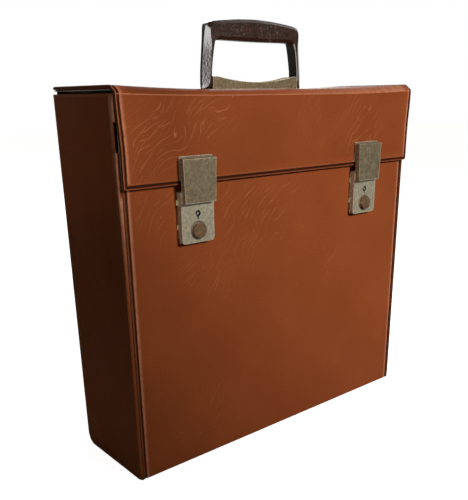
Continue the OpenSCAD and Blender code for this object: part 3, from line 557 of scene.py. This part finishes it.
front_cloth = Cloth()
flap_z = [323.5, 323.1, 322.4, 321.0, 318.5] + [315 - 5.4 * i for i in range(10)]
flap_z += [FLAP_LOW + d for d in reversed(EDGE_STEPS)]
front_rows = route(
    line(0, LID_TOP, -LID_EDGE_Y, LID_TOP, 8),
    arc(-LID_EDGE_Y, FLAP_TOP, -LID_EDGE_Y - FLAP_FACE_Y, LID_TOP - FLAP_TOP, 90, 180, 14),
    [(FLAP_FACE_Y, z) for z in flap_z])
laid = []
edges = []
fold_start = LID_EDGE_Y
fold_end = next(r[4] for r in front_rows if abs(r[1] - FLAP_TOP) < 0.01 and r[0] < -53)
for y, z, ny, nz, v in front_rows:
    t = (v - fold_start) / (fold_end - fold_start)
    on_flap = ease((t - 0.6) / 0.4)
    raised = 1.0 - 0.4 * ease(t) if t < 1 else 0.6 * (1 - ease((FLAP_TOP - z) / 14))
    pinch = math.exp(-((t - 0.55) / 0.32) ** 2)
    narrowed = on_flap * (1 - 0.9 * ease((z - WIDENING_FROM) / WIDENING_RUN))
    half = HALF_W + (FLAP_HALF - HALF_W) * narrowed - 0.5 * pinch
    soft = -FOLD_SAG * math.sin(math.pi * min(max(t, 0), 1)) ** 2
    soft += FOLD_SWELL * math.exp(-((t - 1.06) / 0.09) ** 2)
    rim = LID_RIM - 1.6 * pinch
    row = []
    for column in lid_columns:
        x = column_x(column, half, lid_last)
        px, pz = x, z
        below = z - FLAP_LOW
        d = min(half - abs(x), below) if t > 1 else half - abs(x)
        a, b = abs(x) - (half - FLAP_CORNER_R), FLAP_CORNER_R - below
        if a > 0 and b > 0 and t > 1:
            k = max(a, b) / math.hypot(a, b)
            px = math.copysign(half - FLAP_CORNER_R + a * k, x)
            pz = FLAP_LOW + FLAP_CORNER_R - b * k
        level = ease(-y / 10) * (1 - math.exp(-((t - 0.5) / 0.6) ** 2))
        near = math.exp(-((half - abs(x)) / 3.0) ** 2)
        sink = edge_depth(d) - level * ripple(x, LID_PLACE - v) * min(d / 8, 1.0)
        sink += pinch * near * 1.0 - soft * (1 - near)
        wear_and_light = edge_wear_and_light(d, 0.12 if t > 1 and below < half - abs(x) else 0.6)
        # Painted sheen on the lid's top, rising to the right, and painted shade to the left.
        if t < 0.97 and d > 7:
            wear_and_light = TOP_SHEEN + TOP_SHEEN_RISE * x / HALF_W
        # The flap's face is painted a little darker, more so towards its right.
        if t > 1.03 and d > 7:
            wear_and_light = -FLAP_DARKENING * (1 + max(x, 0.0) / HALF_W)
        # A thin pale line painted along the front fold.
        if 0.99 < t < 1.03:
            wear_and_light = max(wear_and_light, FOLD_PALE)
        row.append(front_cloth.vert((px, y - ny * sink, pz - nz * sink + raised * curl(x)),
                                    x, LID_PLACE - v, wear_and_light))
    laid.append(row)
    edges.append((rim, 0.6, (0, ny, nz)))
front_cloth.grid(laid)
loop = []
for side, index in ((-1, 0), (1, -1)):
    part = []
    for row, e in zip(laid, edges):
        out = Vector((side, 0, 0))
        low = FLAP_LOW + FLAP_CORNER_R - row[index].co.z / MM
        if low > 0.05:
            a = abs(row[index].co.x / MM) - (FLAP_HALF - FLAP_CORNER_R)
            out = Vector((side * a, 0, -low)).normalized()
        part.append((row[index], out, e[2], e[0], e[1], 2.0, 0.45))
    loop.append(part)
under = []
for vert in laid[-1][1:-1]:
    out = Vector((0, 0, -1))
    a = abs(vert.co.x / MM) - (FLAP_HALF - FLAP_CORNER_R)
    if a > 0.05:
        low = FLAP_LOW + FLAP_CORNER_R - vert.co.z / MM
        out = Vector((math.copysign(a, vert.co.x), 0, -low)).normalized()
    under.append((vert, out, (0, -1, 0), LID_RIM, 0.6, 2.0, 0.45))
front_cloth.turn_over(loop[0] + under + loop[1][::-1])
front_fold = front_cloth.finish("lid_and_flap_covering")
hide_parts("front_hinge_strip", "lid_cover", "flap_cover")
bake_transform(front_fold)


# The boards: grey-brown pressed fibreboard, sawn to size and glued under the leathercloth.
# They show only as cut edges when the case is open.
BOARD_DARK = (0.10, 0.062, 0.036)
BOARD_PALE = (0.21, 0.140, 0.085)
BOARD_STAIN = (0.13, 0.085, 0.055)


def fibreboard():
    material, tree, shader = new_material("pressed_fibreboard")
    place = node(tree, "ShaderNodeTexCoord").outputs["Object"]
    fibres = noise_node(tree, place, 900.0, 6.0)
    cloud = noise_node(tree, place, 60.0, 3.0)
    colour = mix(tree, span(tree, fibres, 0.35, 0.65), BOARD_DARK, BOARD_PALE)
    colour = mix(tree, span(tree, cloud, 0.4, 0.7, 0.0, 0.4), colour, BOARD_STAIN)
    tree.links.new(colour, shader.inputs["Base Color"])
    shader.inputs["Roughness"].default_value = 0.9
    bump = node(tree, "ShaderNodeBump", {"Height": fibres, "Strength": 0.5, "Distance": 0.0003})
    tree.links.new(bump.outputs[0], shader.inputs["Normal"])
    return material


def finish_with(material, names):
    for name in names:
        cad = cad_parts[name]
        for i in range(len(cad.material_slots)):
            cad.material_slots[i].link = "OBJECT"
            cad.material_slots[i].material = material
        if not cad.material_slots:
            cad.data.materials.append(material)


finish_with(fibreboard(), ["front_board", "back_board", "left_side_board", "right_side_board",
                           "bottom_board", "lid_board", "flap_board"])


# The lining: dark brown paper with a fine embossed texture, pasted over the boards inside the
# case, the lid and the flap.
LINING_DARK = (0.075, 0.052, 0.036)
LINING_PALE = (0.115, 0.082, 0.057)
LINING_STAIN = (0.055, 0.036, 0.024)


def lining_paper():
    material, tree, shader = new_material("brown_lining_paper")
    place = node(tree, "ShaderNodeTexCoord").outputs["Object"]
    fibres = noise_node(tree, place, 700.0, 5.0)
    cloud = noise_node(tree, place, 22.0, 4.0)
    weave = node(tree, "ShaderNodeTexVoronoi", {"Vector": place, "Scale": 800.0}).outputs["Distance"]
    colour = mix(tree, span(tree, fibres, 0.35, 0.65), LINING_DARK, LINING_PALE)
    colour = mix(tree, span(tree, cloud, 0.5, 0.75, 0.0, 0.5), colour, LINING_STAIN)
    tree.links.new(colour, shader.inputs["Base Color"])
    shader.inputs["Roughness"].default_value = 0.85
    bump = node(tree, "ShaderNodeBump", {"Height": weave, "Strength": 0.3, "Distance": 0.0002})
    tree.links.new(bump.outputs[0], shader.inputs["Normal"])
    return material


finish_with(lining_paper(), ["front_lining", "back_lining", "left_side_lining", "right_side_lining",
                             "bottom_lining", "lid_lining", "flap_lining"])


# The latches: hasps, locks and plates pressed from sheet steel and riveted on. Their brass
# plating has an olive antique finish that has gone mottled, and is pale along the edges,
# partly worn and partly a painted highlight. The locks are paler, with a ring of painted
# shade round their buttons, where the gap round each button lies.
BRASS_OLIVE = (0.235, 0.180, 0.105)
BRASS_DULL = (0.105, 0.078, 0.042)
BRASS_WORN = (0.78, 0.68, 0.50)
BRASS_EDGE_WEAR_AND_GLINT = (0.95, 0.86, 0.70)
LOCK_OLIVE = (0.42, 0.365, 0.26)
LOCK_DULL = (0.24, 0.205, 0.14)
BUTTON_PLACE = (0.106, 0.0, 0.2181)
# A ring of painted shade round each button, where its gap lies.
GAP_SHADE_REACH = 0.0083
BUTTON_GAP_SHADE = (0.022, 0.015, 0.010)


def antique_brass(name, olive, dull, clouds, soil_and_shade=False):
    material, tree, shader = new_material(name)
    place = node(tree, "ShaderNodeTexCoord").outputs["Object"]
    mottle = node(tree, "ShaderNodeTexNoise", {"Vector": place, "Scale": 330.0, "Detail": 5.0,
                                               "Roughness": 0.65}).outputs[0]
    cloud = noise_node(tree, place, 90.0, 3.0)
    flecks = noise_node(tree, place, 1400.0, 3.0)
    colour = mix(tree, span(tree, mottle, 0.40, 0.62), dull, olive)
    colour = mix(tree, span(tree, cloud, 0.45, 0.7, 0.0, clouds), colour, dull)
    colour = mix(tree, span(tree, flecks, 0.60, 0.75, 0.0, 0.6), colour, BRASS_WORN)
    # The edges are painted pale: partly wear, partly a painted highlight.
    facing = node(tree, "ShaderNodeNewGeometry").outputs["Normal"]
    softened = node(tree, "ShaderNodeBevel", {"Radius": 0.0009}, samples=6).outputs[0]
    same = node(tree, "ShaderNodeVectorMath", {0: facing, 1: softened}, operation="DOT_PRODUCT")
    edge = span(tree, same.outputs["Value"], 0.995, 0.93, 0.0, 0.85)
    edge = math_node(tree, "MULTIPLY", edge, span(tree, mottle, 0.3, 0.55, 0.35, 1.0))
    colour = mix(tree, edge, colour, BRASS_EDGE_WEAR_AND_GLINT)
    # A ring of painted shade round each button, where its gap lies.
    if soil_and_shade:
        at = node(tree, "ShaderNodeSeparateXYZ", {0: place})
        from_middle = math_node(tree, "ABSOLUTE", at.outputs["X"])
        flat = node(tree, "ShaderNodeCombineXYZ", {"X": from_middle, "Z": at.outputs["Z"]})
        away = distance_node(tree, flat.outputs[0], BUTTON_PLACE)
        gap_shade = span(tree, away, GAP_SHADE_REACH, GAP_SHADE_REACH - 0.0006, 0.0, 0.65)
        colour = mix(tree, gap_shade, colour, BUTTON_GAP_SHADE)
    tree.links.new(colour, shader.inputs["Base Color"])
    shader.inputs["Metallic"].default_value = 0.6
    smooth = mix_value(tree, edge, span(tree, mottle, 0.35, 0.65, 0.52, 0.36), 0.25)
    tree.links.new(smooth, shader.inputs["Roughness"])
    bump = node(tree, "ShaderNodeBump", {"Height": mottle, "Strength": 0.25, "Distance": 0.0002})
    tree.links.new(bump.outputs[0], shader.inputs["Normal"])
    return material


finish_with(antique_brass("antique_brass", BRASS_OLIVE, BRASS_DULL, 0.5), [
    "hasp_cover_left", "hasp_cover_right", "hasp_base_left", "hasp_base_right",
    "lock_base_left", "lock_base_right"])
finish_with(antique_brass("pale_antique_brass", LOCK_OLIVE, LOCK_DULL, 0.4, soil_and_shade=True), [
    "lock_face_left", "lock_face_right"])


# The push buttons: turned brass with a brown stain, held in the locks by a flange behind the
# face and pushed out by a spring.
BUTTON_DARK = (0.14, 0.074, 0.038)
BUTTON_BROWN = (0.29, 0.175, 0.095)


def stained_button():
    material, tree, shader = new_material("brown_stained_brass")
    place = node(tree, "ShaderNodeTexCoord").outputs["Object"]
    mottle = noise_node(tree, place, 420.0, 4.0)
    colour = mix(tree, span(tree, mottle, 0.4, 0.65), BUTTON_DARK, BUTTON_BROWN)
    tree.links.new(colour, shader.inputs["Base Color"])
    shader.inputs["Metallic"].default_value = 0.7
    tree.links.new(span(tree, mottle, 0.35, 0.65, 0.45, 0.3), shader.inputs["Roughness"])
    return material


finish_with(stained_button(), ["lock_button_left", "lock_button_right"])


# Inside the locks and under the lid: catches, springs, bolts, lugs, pins, rivets, washers and
# the handle's backing plate, stamped or drawn from steel and dull plated.
STEEL_DULL = (0.17, 0.165, 0.155)
STEEL_BRIGHT = (0.34, 0.335, 0.315)


def plated_steel():
    material, tree, shader = new_material("plated_steel")
    place = node(tree, "ShaderNodeTexCoord").outputs["Object"]
    scuffs = noise_node(tree, place, 600.0, 5.0)
    colour = mix(tree, span(tree, scuffs, 0.35, 0.7), STEEL_DULL, STEEL_BRIGHT)
    tree.links.new(colour, shader.inputs["Base Color"])
    shader.inputs["Metallic"].default_value = 1.0
    tree.links.new(span(tree, scuffs, 0.3, 0.7, 0.55, 0.38), shader.inputs["Roughness"])
    return material


finish_with(plated_steel(), [
    "lock_catch_left", "lock_catch_right", "lock_bolt_left", "lock_bolt_right",
    "catch_spring_left", "catch_spring_right", "lock_rivets", "lock_washers",
    "handle_backing_plate", "handle_rivets", "handle_pins", "hasp_rivets", "hasp_washers",
    "hasp_pin_left", "hasp_pin_right", "hasp_lug_left", "hasp_lug_right"])


# The handle's base: a brass-plated tray between the handle's feet, riveted through the lid, its
# two walls dipping in the middle like a saddle. Its finish is browner than the latches'.
SADDLE_BROWN = (0.19, 0.135, 0.078)
SADDLE_SHEEN = (0.42, 0.33, 0.22, 1.0)

saddle_brass = antique_brass("brown_antique_brass", SADDLE_BROWN, BRASS_DULL, 0.6)
saddle_brass.node_tree.nodes["Principled BSDF"].inputs["Specular Tint"].default_value = SADDLE_SHEEN
finish_with(saddle_brass, ["handle_base"])


# The handle: a bail moulded in dark brown plastic with a pebbled grain, square in section
# with broad bevels. It is mitred at its shoulders, and its legs taper to thin feet, which
# turn on two pins in its base.
# Each cut across it, from foot to middle: outer side's x and z, inner side's x and z, half its
# depth, and the bevels of its outer side, of its front and back there, and of its inner side.
HANDLE = (
    (59.9, 329.0, 51.8, 329.0, 1.0, 0.3, 0.7, 0.6),
    (59.9, 329.4, 51.8, 329.4, 2.7, 1.2, 2.0, 0.6),
    (59.9, 330.3, 51.8, 330.3, 4.0, 2.6, 3.0, 0.6),
    (59.9, 331.6, 51.8, 331.6, 5.0, 4.0, 3.7, 0.6),
    (59.8, 333.2, 51.8, 333.2, 5.7, 5.0, 4.2, 0.6),
    (59.7, 337.0, 51.8, 337.0, 6.0, 5.6, 4.4, 0.6),
    (59.3, 345.0, 51.6, 344.5, 6.1, 5.8, 4.5, 0.6),
    (58.5, 353.0, 50.6, 352.0, 6.2, 5.9, 4.6, 0.6),
    (57.6, 361.0, 49.4, 359.0, 6.25, 5.9, 4.6, 0.6),
    (56.7, 369.0, 48.4, 363.8, 6.3, 5.9, 4.6, 0.6),
    (55.9, 375.6, 47.6, 366.2, 6.3, 5.2, 4.2, 0.9),
    (55.4, 378.7, 46.8, 367.5, 6.3, 4.6, 3.8, 1.4),
    (54.6, 381.0, 45.8, 368.3, 6.3, 4.0, 3.5, 1.9),
    (52.8, 382.4, 44.3, 368.8, 6.3, 3.4, 3.2, 2.4),
    (47.6, 383.6, 41.4, 369.1, 6.3, 2.8, 2.8, 2.8),
    (38.6, 384.7, 35.0, 369.1, 6.3, 2.8, 2.8, 2.8),
    (29.0, 385.6, 27.0, 369.0, 6.3, 2.8, 2.8, 2.8),
    (19.3, 386.4, 18.0, 368.9, 6.3, 2.8, 2.8, 2.8),
    (9.7, 386.75, 9.2, 368.8, 6.3, 2.8, 2.8, 2.8),
    (0.0, 387.1, 0.0, 368.8, 6.3, 2.8, 2.8, 2.8),
)
HANDLE_Y = -3.2
HANDLE_DARK = (0.017, 0.0078, 0.0050)
HANDLE_BROWN = (0.036, 0.0160, 0.0100)
# Pale flecks at two spots on the grip: partly nicks in the plastic, partly painted glints.
PALE_NICK_AND_GLINT = (0.34, 0.24, 0.18)
NICK_AND_GLINT_SPOTS = (((0.016, -0.009, 0.377), 0.018), ((-0.022, -0.009, 0.377), 0.012))


def moulded_brown():
    material, tree, shader = new_material("moulded_brown_plastic")
    place = node(tree, "ShaderNodeTexCoord").outputs["Object"]
    grain = node(tree, "ShaderNodeTexVoronoi", {"Vector": place, "Scale": 640.0},
                 feature="SMOOTH_F1").outputs["Distance"]
    cloud = noise_node(tree, place, 120.0, 4.0)
    nick_and_glint_noise = node(tree, "ShaderNodeTexNoise", {"Vector": place, "Scale": 420.0, "Detail": 6.0,
                                             "Roughness": 0.7}).outputs[0]
    colour = mix(tree, span(tree, cloud, 0.35, 0.65), HANDLE_DARK, HANDLE_BROWN)
    # Pale flecks at two spots on the grip: partly nicks, partly painted glints.
    nick_and_glint_patch = 0.0
    for middle, reach in NICK_AND_GLINT_SPOTS:
        away = distance_node(tree, place, middle)
        nick_and_glint_patch = math_node(tree, "MAXIMUM", span(tree, away, reach, reach * 0.5), nick_and_glint_patch)
    nicks_and_glints = math_node(tree, "MULTIPLY", span(tree, nick_and_glint_noise, 0.57, 0.66), nick_and_glint_patch)
    colour = mix(tree, math_node(tree, "MULTIPLY", nicks_and_glints, 0.55), colour, PALE_NICK_AND_GLINT)
    tree.links.new(colour, shader.inputs["Base Color"])
    tree.links.new(span(tree, grain, 0.2, 0.7, 0.17, 0.27), shader.inputs["Roughness"])
    shader.inputs["Specular IOR Level"].default_value = 0.7
    bump = node(tree, "ShaderNodeBump", {"Height": grain, "Strength": 0.42, "Distance": 0.0003})
    tree.links.new(bump.outputs[0], shader.inputs["Normal"])
    return material


def bail_section(ox, oz, ix, iz, deep, out_bevel, side_bevel, in_bevel):
    """The eight corners of one cut across the handle, with its outer side first."""
    o, i = Vector((ox, oz)), Vector((ix, iz))
    thick = (o - i).length
    across = (o - i) / thick
    front = ((0, -deep + side_bevel), (-out_bevel, -deep),
             (-thick + in_bevel, -deep), (-thick, -deep + in_bevel))
    corners = front + tuple((t, -y) for t, y in reversed(front))
    return [(o + across * t, y + HANDLE_Y) for t, y in corners]


bm = bmesh.new()
stations = [bail_section(*s) for s in HANDLE]
rings = []
for side in (-1, 1):
    order = stations if side < 0 else stations[-2::-1]
    for station in order:
        rings.append([bm.verts.new((side * p.x * MM, y * MM, p.y * MM)) for p, y in station])
for a, b in zip(rings, rings[1:]):
    for i in range(8):
        bm.faces.new((a[i], a[(i + 1) % 8], b[(i + 1) % 8], b[i]))
bm.faces.new(rings[0])
bm.faces.new(rings[-1])
bmesh.ops.recalc_face_normals(bm, faces=bm.faces)
long_edges = [bm.edges.get((a[i], b[i])) for a, b in zip(rings, rings[1:]) for i in range(8)]
sharp = [e for e in long_edges if e.calc_face_angle(0) > math.radians(22)]
bmesh.ops.bevel(bm, geom=sharp, offset=0.55 * MM, segments=2, profile=0.6, affect="EDGES",
                clamp_overlap=True)
mesh = bpy.data.meshes.new("carrying_handle")
bm.to_mesh(mesh)
bm.free()
for face in mesh.polygons:
    face.use_smooth = True
handle = bpy.data.objects.new("carrying_handle", mesh)
bpy.context.scene.collection.objects.link(handle)
handle.modifiers.new("even_shading", "WEIGHTED_NORMAL").weight = 80
mesh.materials.append(moulded_brown())
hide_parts("handle_grip")
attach(handle, "handle")


# The studio's floor: matt, and white to the camera, with the case's soft shadow on it. Shiny
# pieces mirror a dark floor with one bright screen lying on the left in front of the case.
FLOOR_HALF = 6.0
FLOOR_BELOW = 0.0002
SCREEN_GLOW = 5.5
FLOOR_MIRRORED = 0.08
FLOOR_GLOW = 0.95


def seen_or_mirrored(tree, rays):
    seen = math_node(tree, "MAXIMUM", rays.outputs["Is Camera Ray"], rays.outputs["Is Glossy Ray"])
    return math_node(tree, "MAXIMUM", seen, rays.outputs["Is Transmission Ray"])


def white_floor():
    material, tree, shader = new_material("white_floor")
    tree.nodes.remove(shader)
    rays = node(tree, "ShaderNodeLightPath")
    seen = seen_or_mirrored(tree, rays)
    matt = node(tree, "ShaderNodeBsdfDiffuse", {"Color": (0.6, 0.6, 0.6, 1.0)})
    place = node(tree, "ShaderNodeTexCoord").outputs["Object"]
    at = node(tree, "ShaderNodeSeparateXYZ", {0: place})
    screen = math_node(tree, "MULTIPLY", span(tree, at.outputs["X"], -0.22, -0.42),
                       span(tree, at.outputs["Y"], 0.15, -0.10, 0.0, SCREEN_GLOW))
    mirrored = math_node(tree, "MULTIPLY", seen, math_node(tree, "ADD", screen, FLOOR_MIRRORED))
    strength = mix_value(tree, rays.outputs["Is Camera Ray"], mirrored, FLOOR_GLOW)
    glow = node(tree, "ShaderNodeEmission", {"Color": (1.0, 1.0, 1.0, 1.0), "Strength": strength})
    both = node(tree, "ShaderNodeAddShader", {0: matt.outputs[0], 1: glow.outputs[0]})
    tree.links.new(both.outputs[0], tree.nodes["Material Output"].inputs["Surface"])
    return material


floor_mesh = bpy.data.meshes.new("studio_floor")
floor_corners = [(x * FLOOR_HALF, y * FLOOR_HALF, -FLOOR_BELOW)
                 for x, y in ((-1, -1), (1, -1), (1, 1), (-1, 1))]
floor_mesh.from_pydata(floor_corners, [], [(0, 1, 2, 3)])
floor_mesh.materials.append(white_floor())
floor = bpy.data.objects.new("studio_floor", floor_mesh)
bpy.context.scene.collection.objects.link(floor)


# The studio's air: white to the camera. Shiny pieces mirror a dark room with a white backdrop
# behind the case and a lit panel on its left; matt ones get a faint fill from all round.
BACKDROP_WAY = (0.66, 0.75, 0.0)
PANEL_WAY = (-0.95, -0.30, 0.10)
PANEL_GLOW = 10.0
FILL_GLOW = 0.075
FILL_TINT = (0.92, 1.12, 0.72)

scene = bpy.context.scene
scene.view_settings.view_transform = "Standard"
world = bpy.data.worlds.new("studio_air")
world.use_nodes = True
scene.world = world
tree = world.node_tree
air = tree.nodes["Background"]
rays = node(tree, "ShaderNodeLightPath")
seen = seen_or_mirrored(tree, rays)
unseen = math_node(tree, "SUBTRACT", 1.0, seen)
tree.links.new(mix(tree, unseen, (1.0, 1.0, 1.0), FILL_TINT), air.inputs["Color"])
ahead = node(tree, "ShaderNodeTexCoord").outputs["Generated"]
towards = node(tree, "ShaderNodeVectorMath", {0: ahead, 1: BACKDROP_WAY}, operation="DOT_PRODUCT")
backdrop = span(tree, towards.outputs["Value"], 0.15, 0.75, 0.06, 1.0)
towards = node(tree, "ShaderNodeVectorMath", {0: ahead, 1: PANEL_WAY}, operation="DOT_PRODUCT")
panel = span(tree, towards.outputs["Value"], 0.80, 0.93, 0.0, PANEL_GLOW)
mirrored = mix_value(tree, seen, FILL_GLOW, math_node(tree, "ADD", backdrop, panel))
strength = mix_value(tree, rays.outputs["Is Camera Ray"], mirrored, 1.0)
tree.links.new(strength, air.inputs["Strength"])


# The lamps: a strong key lamp high in front, to the right, that lights the upper right of the
# case most; a narrow one from the left for the pale edge beside the flap; and a weak broad one
# behind, so that the back isn't black.
def lamp(name, kind, watts, place, aim):
    light = bpy.data.lights.new(name, kind)
    light.energy = watts
    made = bpy.data.objects.new(name, light)
    made.location = place
    made.rotation_euler = (Vector(aim) - Vector(place)).to_track_quat("-Z", "Y").to_euler()
    scene.collection.objects.link(made)
    return light


key = lamp("key_lamp", "SPOT", 260.0, (0.42, -1.95, 1.15), (0.295, -0.05, 0.503))
key.spot_size = math.radians(34.6)
key.spot_blend = 0.468
key.shadow_soft_size = 0.16

edge = lamp("edge_lamp", "SPOT", 68.0, (-0.62, -2.0, 0.60), (-0.235, -0.05, 0.30))
edge.spot_size = math.radians(6.0)
edge.spot_blend = 1.0
edge.shadow_soft_size = 0.02

rear = lamp("rear_lamp", "AREA", 14.0, (1.2, 1.5, 1.0), (0.05, 0.0, 0.18))
rear.size = 0.8


# The camera: it stands in front of the case on its left, level with the lid and looking down,
# where the photograph was taken from. Its focal length, centre and frame are in pixels of the
# picture, its place is in millimetres, and its turns are in radians.
FOCAL = 649.90
CENTRE = (241.14, 333.91)
FRAME = (468, 500)
EYE_PLACE = (-425.67, -491.78, 323.13)
SWING, TILT, ROLL = -0.69510, 0.35139, -0.013718

back = Vector((math.sin(SWING) * math.cos(TILT), -math.cos(SWING) * math.cos(TILT), math.sin(TILT)))
right = Vector((math.cos(SWING), math.sin(SWING), 0.0))
up = back.cross(right)
cos_roll, sin_roll = math.cos(ROLL), math.sin(ROLL)
right, up = right * cos_roll + up * sin_roll, up * cos_roll - right * sin_roll
eye = bpy.data.cameras.new("camera")
eye.sensor_fit = "VERTICAL"
eye.sensor_height = 36.0
eye.lens = 36.0 * FOCAL / FRAME[1]
eye.shift_x = (FRAME[0] / 2 - CENTRE[0]) / FRAME[1]
eye.shift_y = (CENTRE[1] - FRAME[1] / 2) / FRAME[1]
eye.clip_start = 0.01
camera = bpy.data.objects.new("camera", eye)
turned = Matrix((right, up, back)).transposed()
camera.matrix_world = Matrix.Translation(Vector(EYE_PLACE) * MM) @ turned.to_4x4()
scene.collection.objects.link(camera)
scene.camera = camera
